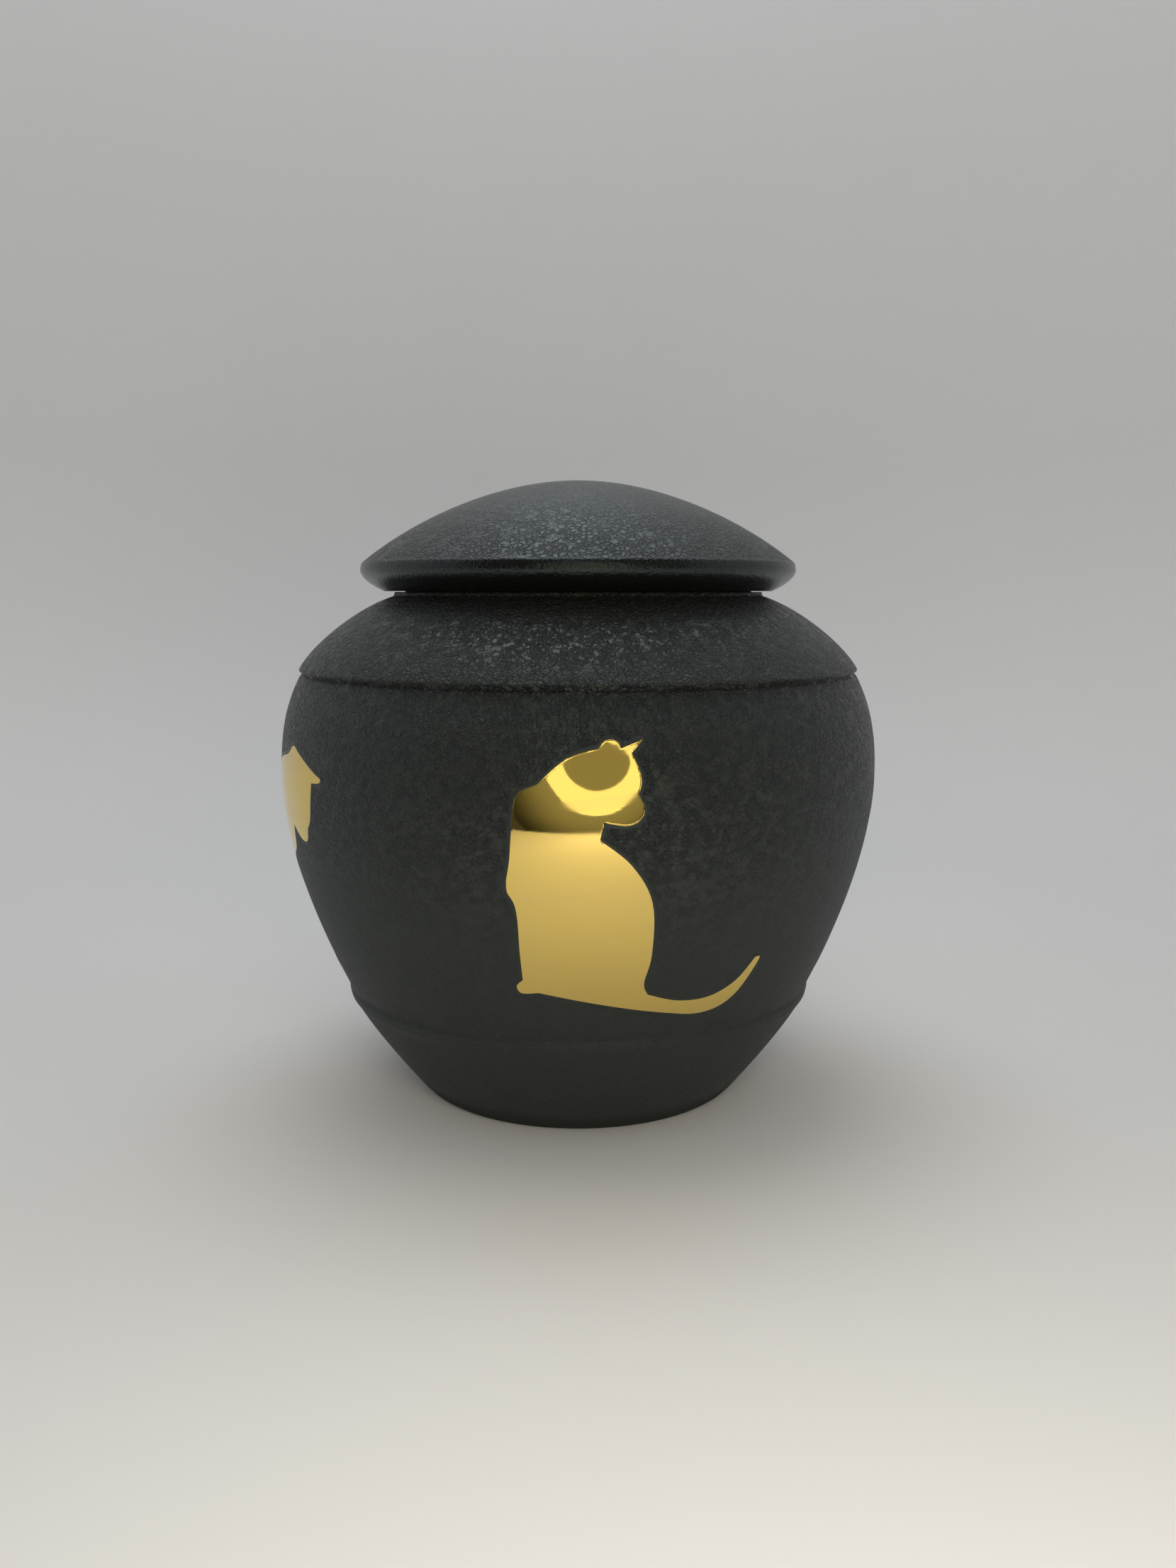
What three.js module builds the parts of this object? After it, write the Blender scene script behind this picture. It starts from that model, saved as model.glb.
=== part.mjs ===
// A round-bellied metal urn with a lift-off domed lid.
// Millimetres, +Z up, origin on the floor under the urn's axis, front at -Y.
// The body and the lid are turned forms, and both are hollow. The figures on the belly lie flush
// with the coat, so they are finish, not form.

import * as THREE from 'three';

// Heights above the floor, from the bottom up
const base_round_z = 2.6;
const foot_top_z = 24.8;
const lip_bottom_z = 26.1;
const lip_top_z = 27.9;
const belly_bottom_z = 28.6;
const belly_z = 78.2;
const ridge_bottom_z = 100.8;
const ridge_groove_z = 101.5;
const ridge_top_z = 102.3;
const neck_bottom_z = 119.3;
const rim_z = 120.2;

// Outer radii, from the bottom up
const base_flat_r = 36.2;
const base_round_r = 40.1;
const foot_top_r = 56.1;
const lip_bottom_r = 56.9;
const lip_top_r = 57.2;
const belly_bottom_r = 56.9;
const belly_r = 71.0;
const ridge_r = 66.2;
const ridge_groove_r = 65.6;
const neck_r = 43.9;

// Lean of the outline from the vertical, in degrees, at the ends of its smooth stretches
const base_lean = 39.6;
const foot_top_lean = 30.1;
const belly_bottom_lean = 26.4;
const ridge_bottom_lean = 27.3;
const ridge_top_lean = 26.0;
const neck_lean = 73.0;

// How far each lean holds, as a share of the straight distance that its stretch spans
const base_reach = 0.33;
const foot_top_reach = 0.29;
const belly_bottom_reach = 0.28;
const below_belly_reach = 0.33;
const above_belly_reach = 0.35;
const ridge_bottom_reach = 0.38;
const ridge_top_reach = 0.2;
const neck_reach = 0.34;

// Walls of the body
const body_wall = 2.0;
const floor_wall = 2.5;
const neck_wall = 2.2;

// Lid, with rises above its flat bottom
const lid_flat_r = 46.2;
const lid_edge_r = 51.7;
const lid_edge_rise = 5.0;
const lid_roll_r = 51.4;
const lid_roll_rise = 6.5;
const lid_crease_r = 50.6;
const lid_crease_rise = 7.1;
const lid_crease_lean = 50.5;
const lid_crease_reach = 0.2;
const lid_height = 25.9;
const lid_apex_lean = 90.0;
const lid_apex_reach = 0.41;
const lid_wall = 2.0;

// The ring under the lid that drops into the neck
const ring_depth = 8.0;
const ring_wall = 2.0;
const ring_clearance = 0.4;
const seat_gap = 0.2;

// Sides of a turned form, and the straight steps along each curve of its outline
const sides_round = 64;
const base_steps = 2;
const foot_steps = 3;
const lower_belly_steps = 8;
const upper_belly_steps = 4;
const shoulder_steps = 5;
const foot_inside_steps = 2;
const lower_belly_inside_steps = 5;
const upper_belly_inside_steps = 2;
const shoulder_inside_steps = 4;
const lid_underside_steps = 4;
const dome_steps = 8;
const dome_inside_steps = 6;

const coat = { color: 0x34373a, roughness: 0.55, metalness: 0.35 };

const at = (r, z) => new THREE.Vector2(r, z);

// The direction of a climbing outline that leans outward from the vertical by an angle.
function leaning(degrees) {
  const lean = THREE.MathUtils.degToRad(degrees);
  return at(Math.sin(lean), Math.cos(lean));
}

// A smooth stretch of outline between two points, with a lean at each end. Each end is a point,
// its lean, and how far the lean holds, as a share of the straight distance.
function stretch([from, from_lean, from_reach], [to, to_lean, to_reach]) {
  const span = from.distanceTo(to);
  return new THREE.CubicBezierCurve(
    from,
    from.clone().addScaledVector(leaning(from_lean), span * from_reach),
    to.clone().addScaledVector(leaning(to_lean), -span * to_reach),
    to,
  );
}

const base_corner_r = base_round_r - base_round_z * Math.tan(THREE.MathUtils.degToRad(base_lean));
const base_curve = new THREE.QuadraticBezierCurve(
  at(base_flat_r, 0), at(base_corner_r, 0), at(base_round_r, base_round_z),
);
const foot_curve = stretch(
  [at(base_round_r, base_round_z), base_lean, base_reach],
  [at(foot_top_r, foot_top_z), foot_top_lean, foot_top_reach],
);
const lower_belly_curve = stretch(
  [at(belly_bottom_r, belly_bottom_z), belly_bottom_lean, belly_bottom_reach],
  [at(belly_r, belly_z), 0, below_belly_reach],
);
const upper_belly_curve = stretch(
  [at(belly_r, belly_z), 0, above_belly_reach],
  [at(ridge_r, ridge_bottom_z), -ridge_bottom_lean, ridge_bottom_reach],
);
const shoulder_curve = stretch(
  [at(ridge_r, ridge_top_z), -ridge_top_lean, ridge_top_reach],
  [at(neck_r, neck_bottom_z), -neck_lean, neck_reach],
);

// Points along a climbing outline, moved inward across its wall.
function inside(curve, wall, divisions) {
  const points = [];
  for (let i = 0; i <= divisions; i += 1) {
    const along = curve.getTangent(i / divisions);
    points.push(curve.getPoint(i / divisions).add(at(-along.y, along.x).multiplyScalar(wall)));
  }
  return points;
}

// The point where an outline first crosses a radius ('x') or a height ('y').
function crossing(points, axis, value) {
  const next = points.findIndex((point, i) => (
    i > 0 && (points[i - 1][axis] - value) * (point[axis] - value) <= 0
  ));
  const [from, to] = [points[next - 1], points[next]];
  return from.clone().lerp(to, (value - from[axis]) / (to[axis] - from[axis]));
}

// A piece turned round the Z axis from an outline of radii and heights.
function turned_piece(name, outline) {
  const geometry = new THREE.LatheGeometry(outline, sides_round);
  geometry.rotateX(Math.PI / 2);
  const mesh = new THREE.Mesh(geometry, new THREE.MeshStandardMaterial(coat));
  mesh.name = name;
  return mesh;
}

// The hollow's outline, from the floor up to the neck's rim. It follows the outer curves and leaves
// out the lip and the ridge, which stand on the outside only.
function hollow_outline() {
  const neck_inner_r = neck_r - neck_wall;
  const curved = [
    ...inside(foot_curve, body_wall, foot_inside_steps),
    ...inside(lower_belly_curve, body_wall, lower_belly_inside_steps).slice(1),
    ...inside(upper_belly_curve, body_wall, upper_belly_inside_steps).slice(1),
    ...inside(shoulder_curve, body_wall, shoulder_inside_steps).slice(1),
  ];
  const floor_corner = crossing([at(curved[0].x, 0), ...curved], 'y', floor_wall);
  const shoulder_top = curved[curved.length - 1];
  const neck_corner = crossing([at(0, shoulder_top.y), ...curved.toReversed()], 'x', neck_inner_r);
  const between = curved.filter((point) => (
    point.y > floor_corner.y && (point.y < belly_z || point.x > neck_inner_r)
  ));
  return [at(0, floor_wall), floor_corner, ...between, neck_corner, at(neck_inner_r, rim_z)];
}

function urn_body() {
  return turned_piece('urn_body', [
    at(0, 0),
    ...base_curve.getPoints(base_steps),
    ...foot_curve.getPoints(foot_steps).slice(1),
    at(lip_bottom_r, lip_bottom_z),
    at(lip_top_r, lip_top_z),
    ...lower_belly_curve.getPoints(lower_belly_steps),
    ...upper_belly_curve.getPoints(upper_belly_steps).slice(1),
    at(ridge_groove_r, ridge_groove_z),
    ...shoulder_curve.getPoints(shoulder_steps),
    at(neck_r, rim_z),
    ...hollow_outline().reverse(),
  ]);
}

// The lid is drawn from its flat bottom up, and rests on the neck's rim.
function urn_lid() {
  const ring_outer_r = neck_r - neck_wall - ring_clearance;
  const ring_inner_r = ring_outer_r - ring_wall;
  const edge_inner_r = lid_edge_r - lid_wall;
  const underside_curve = new THREE.QuadraticBezierCurve(
    at(lid_flat_r, 0), at(lid_edge_r, lid_edge_rise / 2), at(lid_edge_r, lid_edge_rise),
  );
  const dome_curve = stretch(
    [at(lid_crease_r, lid_crease_rise), -lid_crease_lean, lid_crease_reach],
    [at(0, lid_height), -lid_apex_lean, lid_apex_reach],
  );
  const dome_wall = inside(dome_curve, lid_wall, dome_inside_steps).slice(0, -1);
  const dome_inside = dome_wall.filter((point) => (
    point.y > lid_edge_rise && point.x < edge_inner_r
  ));
  const lid = turned_piece('urn_lid', [
    at(0, lid_height - lid_wall),
    ...dome_inside.reverse(),
    at(edge_inner_r, lid_edge_rise),
    at(lid_flat_r, lid_wall),
    at(ring_inner_r, lid_wall),
    at(ring_inner_r, -ring_depth),
    at(ring_outer_r, -ring_depth),
    at(ring_outer_r, 0),
    ...underside_curve.getPoints(lid_underside_steps),
    at(lid_roll_r, lid_roll_rise),
    ...dome_curve.getPoints(dome_steps),
  ]);
  lid.position.z = rim_z + seat_gap;
  return lid;
}

const urn = new THREE.Group();
urn.add(urn_body(), urn_lid());

export default urn;
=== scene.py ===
"""A round-bellied urn with a lift-off lid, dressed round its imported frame.

The frame holds the plain solids. This file gives the body and the lid their fine turned outlines, their
crackle coat and their bare metal, lays the brass cats flush on the belly, and sets a small pale studio.
Everything is in metres, with +Z up and the front at -Y. Sizes that end in _MM are in millimetres.
"""

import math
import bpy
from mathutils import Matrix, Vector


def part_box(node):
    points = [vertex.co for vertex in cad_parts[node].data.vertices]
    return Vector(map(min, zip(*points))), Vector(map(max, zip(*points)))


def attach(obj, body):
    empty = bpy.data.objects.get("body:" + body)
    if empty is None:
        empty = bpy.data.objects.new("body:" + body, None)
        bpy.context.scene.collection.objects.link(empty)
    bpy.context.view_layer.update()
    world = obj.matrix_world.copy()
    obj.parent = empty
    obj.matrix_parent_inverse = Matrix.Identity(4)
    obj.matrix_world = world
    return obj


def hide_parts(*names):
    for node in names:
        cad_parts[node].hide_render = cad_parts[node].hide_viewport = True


bl_info = {
    "name": "Coated Urn With Brass Cats",
    "version": (1, 0, 0),
    "blender": (4, 5, 0),
    "location": "3D View > Sidebar > Urn",
    "description": "Dresses a packed urn with turned forms, a crackle coat, brass figures and a studio",
    "category": "Add Mesh",
}

import bmesh
import bpy
from bpy.props import FloatProperty, FloatVectorProperty, IntProperty, PointerProperty
from mathutils import Euler, Matrix, Vector
from mathutils.geometry import interpolate_bezier

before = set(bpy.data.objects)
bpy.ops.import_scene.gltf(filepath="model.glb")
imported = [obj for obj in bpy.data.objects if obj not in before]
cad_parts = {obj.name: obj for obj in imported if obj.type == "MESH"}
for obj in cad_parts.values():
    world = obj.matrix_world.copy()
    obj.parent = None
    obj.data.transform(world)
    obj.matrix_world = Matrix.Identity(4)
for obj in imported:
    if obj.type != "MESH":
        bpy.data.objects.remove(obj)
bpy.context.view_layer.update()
body_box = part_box("urn_body")
lid_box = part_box("urn_lid")

MM = 0.001
ROOT = "root"
MERGE_DISTANCE = 1e-6

# Outline of the body, from the bottom up, as radius and height
BASE_FLAT_R_MM = 36.2
BASE_ROUND_MM = (40.1, 2.6)
FOOT_TOP_MM = (55.1, 23.2)
LIP_BOTTOM_MM = (56.0, 24.4)
LIP_TOP_MM = (56.4, 26.1)
BELLY_BOTTOM_MM = (56.1, 26.9)
BELLY_HEIGHT_MM = 78.2
RIDGE_BOTTOM_MM = (66.2, 100.8)
RIDGE_GROOVE_MM = (65.5, 101.4)
RIDGE_TOP_MM = (66.4, 102.2)
NECK_BOTTOM_MM = (43.9, 119.3)

# Lean of that outline from the vertical in degrees, and how far it holds as a share of its stretch
BASE_LEAN, BASE_REACH = 39.6, 0.33
FOOT_TOP_LEAN, FOOT_TOP_REACH = 30.1, 0.29
BELLY_BOTTOM_LEAN, BELLY_BOTTOM_REACH = 26.4, 0.28
BELOW_BELLY_REACH, ABOVE_BELLY_REACH = 0.33, 0.35
RIDGE_BOTTOM_LEAN, RIDGE_BOTTOM_REACH = -27.3, 0.38
RIDGE_TOP_LEAN, RIDGE_TOP_REACH = -26.0, 0.2
NECK_LEAN, NECK_REACH = -73.0, 0.34

# Walls
BODY_WALL_MM = 2.0
FLOOR_WALL_MM = 2.5
NECK_WALL_MM = 2.2
LID_WALL_MM = 2.0

# Lid, as radius and rise above its flat bottom
LID_FLAT_R_MM = 46.2
LID_EDGE_MM = (51.7, 5.0)
LID_ROLL_MM = (51.4, 6.5)
LID_CREASE_MM = (50.6, 7.1)
LID_CREASE_LEAN, LID_CREASE_REACH = -50.5, 0.2
LID_APEX_LEAN, LID_APEX_REACH = -90.0, 0.41
RING_DEPTH_MM = 8.0
RING_WALL_MM = 2.0
RING_CLEARANCE_MM = 0.4

# Fineness of the curves and of the softened corners
CURVE_STEP_MM = 1.1
SOFT_CORNER_STEPS = 3

# The figures' outlines as shares of their height: across from their middle, and up from their feet.
# A row is a smooth stretch from the end of the row before it, round the outline, through its points.
# Rows meet at corners, and run clockwise.
SEATED_CAT = [
    [(-0.416, 0.27), (-0.429, 0.39), (-0.442, 0.45), (-0.465, 0.492), (-0.469, 0.535)],
    [(-0.461, 0.6), (-0.457, 0.68), (-0.45, 0.78), (-0.432, 0.828), (-0.376, 0.855)],
    [(-0.284, 0.938), (-0.178, 0.972)],
    [(-0.16, 0.995), (-0.135, 1), (-0.115, 0.99), (-0.107, 0.971)],
    [(-0.033, 0.999)],
    [(-0.073, 0.956)],
    [(-0.05, 0.905), (-0.042, 0.86), (-0.05, 0.82), (-0.034, 0.785), (-0.035, 0.755)],
    [(-0.055, 0.731), (-0.09, 0.72), (-0.14, 0.727), (-0.163, 0.733)],
    [(-0.176, 0.673)],
    [(-0.068, 0.583), (0.008, 0.45), (0.022, 0.26), (0.006, 0.15), (0.024, 0.102)],
    [(0.14, 0.066), (0.26, 0.067), (0.36, 0.115), (0.43, 0.198)],
    [(0.447, 0.183), (0.36, 0.05), (0.24, 0.002), (0.06, 0.028), (-0.345, 0.116)],
    [(-0.4, 0.112), (-0.418, 0.14), (-0.4, 0.165)],
]
WALKING_CAT = [
    [(0.49, 0.665), (0.455, 0.63), (0.4, 0.61)],
    [(0.345, 0.57), (0.33, 0.5), (0.34, 0.4), (0.365, 0.28), (0.395, 0.17), (0.41, 0.07)],
    [(0.455, 0.045), (0.46, 0.005), (0.38, 0), (0.35, 0.03)],
    [(0.32, 0.16), (0.285, 0.25), (0.25, 0.32)],
    [(0.22, 0.24), (0.2, 0.14), (0.19, 0.06)],
    [(0.225, 0.035), (0.215, 0.003), (0.14, 0), (0.115, 0.03)],
    [(0.11, 0.15), (0.115, 0.27), (0.09, 0.36)],
    [(-0.03, 0.34), (-0.13, 0.355), (-0.19, 0.375)],
    [(-0.165, 0.28), (-0.185, 0.2), (-0.17, 0.12), (-0.165, 0.055)],
    [(-0.125, 0.035), (-0.13, 0.003), (-0.215, 0), (-0.245, 0.03)],
    [(-0.255, 0.12), (-0.275, 0.19), (-0.295, 0.235)],
    [(-0.335, 0.17), (-0.37, 0.11), (-0.385, 0.055)],
    [(-0.35, 0.03), (-0.36, 0.003), (-0.44, 0), (-0.47, 0.03)],
    [(-0.455, 0.13), (-0.415, 0.24), (-0.395, 0.36), (-0.405, 0.47)],
    [(-0.45, 0.56), (-0.49, 0.68), (-0.48, 0.82), (-0.42, 0.92), (-0.345, 0.955)],
    [(-0.32, 0.95), (-0.322, 0.915), (-0.345, 0.905)],
    [(-0.4, 0.875), (-0.428, 0.79), (-0.428, 0.69), (-0.39, 0.6), (-0.33, 0.585)],
    [(-0.2, 0.615), (-0.05, 0.58), (0.08, 0.59), (0.19, 0.635), (0.25, 0.7), (0.27, 0.78)],
    [(0.268, 0.84), (0.28, 0.905)],
    [(0.32, 0.87), (0.35, 0.832)],
    [(0.38, 0.838)],
    [(0.41, 0.87), (0.448, 0.9)],
    [(0.453, 0.84), (0.462, 0.785)],
    [(0.475, 0.745), (0.497, 0.7)],
]
REARING_CAT = [
    [(-0.285, 0.22), (-0.285, 0.42), (-0.2, 0.62), (-0.1, 0.75), (0.02, 0.828), (0.235, 0.872)],
    [(0.263, 0.885), (0.295, 0.907), (0.325, 0.908), (0.35, 0.897)],
    [(0.42, 0.869), (0.495, 0.836), (0.529, 0.822)],
    [(0.546, 0.815), (0.545, 0.803), (0.527, 0.797)],
    [(0.486, 0.793)],
    [(0.476, 0.735), (0.456, 0.658), (0.422, 0.619)],
    [(0.405, 0.58), (0.378, 0.563), (0.333, 0.57), (0.263, 0.609)],
    [(0.216, 0.519), (0.1, 0.46), (0.03, 0.37), (0.015, 0.24), (0.02, 0.06)],
    [(0.06, 0.035), (0.055, 0.002), (-0.03, 0)],
    [(-0.14, 0), (-0.22, 0.028)],
    [(-0.35, 0.002), (-0.48, 0.03), (-0.555, 0.11), (-0.565, 0.155), (-0.535, 0.165)],
    [(-0.515, 0.115), (-0.45, 0.07), (-0.35, 0.05), (-0.22, 0.09)],
]

# Each figure's outline, and how many degrees it is turned on from the first one
FIGURES = {
    "seated_cat_front": (SEATED_CAT, 0),
    "walking_cat_right": (WALKING_CAT, 90),
    "seated_cat_back": (SEATED_CAT, 180),
    "rearing_cat_left": (REARING_CAT, 270),
}
FIGURE_CURVE_STEPS = 6

# The coat's edge round a figure, as shares of the band's width and of the coat's rise
COAT_BAND = ((0.2, 1.0), (0.5, 0.65), (1.0, -0.4))

# The flat part of a figure's rolled edge, as a share of the rolled part
ROLL_FLAT_SHARE = 0.6

# Lift that keeps a figure's edge clear of the coat's facets, and the room that the belly leaves for it all
LIFT_MM = 0.01
EDGE_ROOM_MM = 0.09

# The crackle: how finely each part of it repeats, where one cell is 1
BEND_SCALE = 1.4
WRINKLE_SCALE = 1.9
PLATE_SCALE = 0.9
GRAIN_SCALE = 2.8

# Patches of veins and of wrinkles: how finely they repeat, and between which noise values they set in
VEIN_PATCHES = (0.4, 0.32, 0.45)
WRINKLE_PATCHES = (0.6, 0.42, 0.56)
WRINKLE_HEIGHT = 0.7

# Heights on the coat in metres, each from where a change starts to where it is complete
BASE_END = (0.001, 0.006)
CRACKLE_START = (0.045, 0.1)
MATTE_END = (0.04, 0.1)
SHOULDER_START = (0.101, 0.103)
LID_START = (0.1195, 0.1205)
LID_EDGE_START = (0.1203, 0.1206)
LID_EDGE_END = (0.1266, 0.1276)
DOME_CALM = (0.128, 0.143)

# Strength of the crackle at the foot, on the lid's edge, low on the dome and at its top, and round figures
FOOT_CRACKLE = 0.12
LID_EDGE_LOSS = -0.85
DOME_CRACKLE = (1.15, 0.4)
COAT_EDGE_CRACKLE = 0.1

# Rise of each part of the crackle in its depth: on the belly, on the shoulder and on the lid, or all over
WRINKLE_RISE = (2.6, 1.3, -0.4)
PLATE_RISE = (0.8, 0.5, 0.3)
VEIN_RISE = -0.75
GRAIN_RISE = 0.3

# What each part of the coat adds to its roughness, and how strongly painted shade darkens the sunk veins
GRAIN_ROUGHNESS = 0.16
VEIN_ROUGHNESS = 0.15
LID_EDGE_ROUGHNESS = -0.12
MATTE_ROUGHNESS = 0.28
BASE_ROUGHNESS = 0.4
VEIN_PAINTED_SHADE = 0.6

# Noise on the polished metal: where the dull streaks set in, and what they add to the roughness
DULL_START = (0.35, 0.75)
DULL_ROUGHNESS = 0.05

# The metal inside: how finely its pits and stains repeat, where the stains set in, and their look
PIT_SCALE = 900.0
PIT_DEPTH_MM = 0.05
STAIN_SCALE = 45.0
STAIN_START = (0.4, 0.7)
STAIN_BRIGHTNESS = 0.55
STAIN_ROUGHNESS = 0.25
INNER_ROUGHNESS = 0.4

# What settings of a kind have in common
LENGTH = {"subtype": "DISTANCE", "unit": "LENGTH"}
ANGLE = {"subtype": "ANGLE", "unit": "ROTATION"}
COLOUR = {"subtype": "COLOR", "size": 3, "min": 0.0, "max": 1.0}


class UrnFormSettings(bpy.types.PropertyGroup):
    """Sizes of the turned forms."""

    belly_radius: FloatProperty(
        name="Belly radius", description="Outer radius at the belly's widest place",
        default=body_box[1].x - EDGE_ROOM_MM * MM, min=0.05, max=0.2, **LENGTH,
    )
    rim_height: FloatProperty(
        name="Rim height", description="Height of the neck's rim above the floor",
        default=body_box[1].z, min=0.05, max=0.3, **LENGTH,
    )
    lid_bottom: FloatProperty(
        name="Lid bottom", description="Height of the lid's flat bottom above the floor",
        default=lid_box[0].z + RING_DEPTH_MM * MM, min=0.05, max=0.3, **LENGTH,
    )
    lid_top: FloatProperty(
        name="Lid top", description="Height of the dome's highest point above the floor",
        default=lid_box[1].z, min=0.05, max=0.4, **LENGTH,
    )
    soft_edge: FloatProperty(
        name="Soft edge", description="Rounding of the lip, the ridge and the rims under the coat",
        default=0.35 * MM, min=0.0, max=0.001, **LENGTH,
    )
    sides: IntProperty(
        name="Sides", description="Sides of each turned form", default=256, min=32, max=512,
    )


class CoatSettings(bpy.types.PropertyGroup):
    """Look of the crackle coat."""

    colour: FloatVectorProperty(
        name="Colour", description="Colour of the coat", **COLOUR,
        default=(0.015, 0.0151, 0.0126),
    )
    # Painted shade: a darker colour laid into the sunk veins and over the lid's downward-facing edge band,
    # standing in for the shade that falls there
    vein_and_edge_shade_colour: FloatVectorProperty(
        name="Vein colour", description="Colour in the coat's fine veins and on the lid's edge",
        **COLOUR, default=(0.004, 0.0042, 0.0036),
    )
    sheen_colour: FloatVectorProperty(
        name="Sheen colour", description="Tint of the coat's reflections", **COLOUR,
        default=(0.8, 0.95, 1.0),
    )
    dust_colour: FloatVectorProperty(
        name="Dust colour", description="Colour of the few specks of dust", **COLOUR,
        default=(0.45, 0.44, 0.42),
    )
    cell: FloatProperty(
        name="Crackle cell", description="Size of one cell of the crackle",
        default=1.35 * MM, min=0.0002, max=0.02, **LENGTH,
    )
    relief: FloatProperty(
        name="Crackle depth", description="Depth of the veins between the cells",
        default=0.24 * MM, min=0.0, max=0.001, **LENGTH,
    )
    roughness: FloatProperty(
        name="Roughness", description="Roughness of the coat", default=0.33, min=0.0, max=1.0,
    )


class BrassSettings(bpy.types.PropertyGroup):
    """Look of the bare brass."""

    colour: FloatVectorProperty(
        name="Colour", description="Colour of polished brass", **COLOUR,
        default=(0.88, 0.65, 0.185),
    )
    dull_colour: FloatVectorProperty(
        name="Dull colour", description="Colour where handling has dulled it", **COLOUR,
        default=(0.86, 0.625, 0.19),
    )
    inner_colour: FloatVectorProperty(
        name="Inner colour", description="Colour of the unpolished metal inside", **COLOUR,
        default=(0.33, 0.24, 0.11),
    )
    roughness: FloatProperty(
        name="Roughness", description="Roughness of polished brass", default=0.04, min=0.0, max=1.0,
    )
    mark_spacing: FloatProperty(
        name="Mark spacing", description="Distance between the fine brush marks",
        default=0.3 * MM, min=0.00005, max=0.005, **LENGTH,
    )
    mark_depth: FloatProperty(
        name="Mark depth", description="Depth of the fine brush marks",
        default=0.0012 * MM, min=0.0, max=0.0001, **LENGTH,
    )


class FigureSettings(bpy.types.PropertyGroup):
    """Size and place of the brass figures."""

    height: FloatProperty(
        name="Height", description="Height of a figure",
        default=59.9 * MM, min=0.01, max=0.2, **LENGTH,
    )
    feet_height: FloatProperty(
        name="Feet height", description="Height of a figure's feet above the floor",
        default=32.2 * MM, min=0.0, max=0.2, **LENGTH,
    )
    first_turn: FloatProperty(
        name="First turn", description="Turn of the first figure from the front",
        default=math.radians(12), min=-math.pi, max=math.pi, **ANGLE,
    )
    proud: FloatProperty(
        name="Proud", description="How far the metal stands above its own rolled edge",
        default=0.03 * MM, min=0.0, max=0.001, **LENGTH,
    )
    coat_rise: FloatProperty(
        name="Coat rise", description="How far the coat's rounded edge stands above the metal's edge",
        default=0.07 * MM, min=0.0, max=0.001, **LENGTH,
    )
    band: FloatProperty(
        name="Band", description="Width of the smooth band of coat round a figure",
        default=0.9 * MM, min=0.0001, max=0.005, **LENGTH,
    )
    roll: FloatProperty(
        name="Rolled edge", description="Width of the rounded edge round a figure",
        default=0.22 * MM, min=0.0, max=0.002, **LENGTH,
    )
    depth: FloatProperty(
        name="Depth", description="How far a figure's metal reaches into the wall",
        default=0.5 * MM, min=0.0001, max=0.002, **LENGTH,
    )
    grid: FloatProperty(
        name="Grid", description="Spacing of the mesh that follows the belly",
        default=1.0 * MM, min=0.0003, max=0.01, **LENGTH,
    )


class StudioSettings(bpy.types.PropertyGroup):
    """Floor, light and camera."""

    paper_colour: FloatVectorProperty(
        name="Paper colour", description="Colour of the floor and the sweep behind it",
        **COLOUR, default=(0.77, 0.765, 0.77),
    )
    camera_distance: FloatProperty(
        name="Camera distance", description="Distance of the camera from the urn's axis",
        default=0.3274, min=0.1, max=5.0, **LENGTH,
    )
    camera_height: FloatProperty(
        name="Camera height", description="Height of the camera above the floor",
        default=0.1204, min=0.0, max=5.0, **LENGTH,
    )
    camera_pitch: FloatProperty(
        name="Camera pitch", description="How far the camera looks down",
        default=math.radians(8.15), min=-1.5, max=1.5, **ANGLE,
    )
    camera_turn: FloatProperty(
        name="Camera turn", description="How far the camera looks to the right",
        default=math.radians(0.407), min=-1.5, max=1.5, **ANGLE,
    )
    camera_lens: FloatProperty(
        name="Camera lens", description="Focal length in millimetres for a 36 mm sensor",
        default=30.92, min=5.0, max=300.0,
    )
    top_light: FloatProperty(
        name="Top light", description="Power of the soft light above, in watts",
        default=1.6, min=0.0, max=500.0,
    )
    back_light: FloatProperty(
        name="Back light", description="Power of the soft light behind, in watts",
        default=1.38, min=0.0, max=500.0,
    )
    window_light: FloatProperty(
        name="Window light", description="Power of the cool light high in front, in watts",
        default=0.6, min=0.0, max=500.0,
    )
    camera_light: FloatProperty(
        name="Camera light", description="Power of the warm light round the camera, in watts",
        default=0.58, min=0.0, max=500.0,
    )
    ring_lamp: FloatProperty(
        name="Ring lamp", description="Brightness of the ring that the brass reflects",
        default=1.36, min=0.0, max=100.0,
    )
    ambient: FloatProperty(
        name="Ambient", description="Brightness of the room's own light", default=0.22, min=0.0, max=10.0,
    )


# Outlines

def at(radius_mm, height_mm):
    """A point of an outline, in metres."""
    return Vector((radius_mm * MM, 0, height_mm * MM))


def leaning(degrees):
    """The direction of a climbing outline that leans outward from the vertical."""
    return Vector((math.sin(math.radians(degrees)), 0, math.cos(math.radians(degrees))))


def steps_for(length):
    """The number of points that keep a stretch of that length smooth."""
    return max(4, round(length / (CURVE_STEP_MM * MM)))


def stretch(start, start_lean, start_reach, end, end_lean, end_reach):
    """Points of a smooth stretch of outline with a given lean at each end."""
    span = (end - start).length
    start_handle = start + leaning(start_lean) * span * start_reach
    end_handle = end - leaning(end_lean) * span * end_reach
    return interpolate_bezier(start, start_handle, end_handle, end, steps_for(span))


def rounded(start, corner, end):
    """Points of a round stretch that leaves along start-corner and arrives along corner-end."""
    start_handle = start.lerp(corner, 2 / 3)
    end_handle = end.lerp(corner, 2 / 3)
    return interpolate_bezier(start, start_handle, end_handle, end, steps_for((end - start).length))


def inside(points, wall):
    """The same stretch moved inward across a wall."""
    moved = []
    for i, point in enumerate(points):
        along = points[min(i + 1, len(points) - 1)] - points[max(i - 1, 0)]
        moved.append(point + Vector((-along.z, 0, along.x)).normalized() * wall)
    return moved


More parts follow.
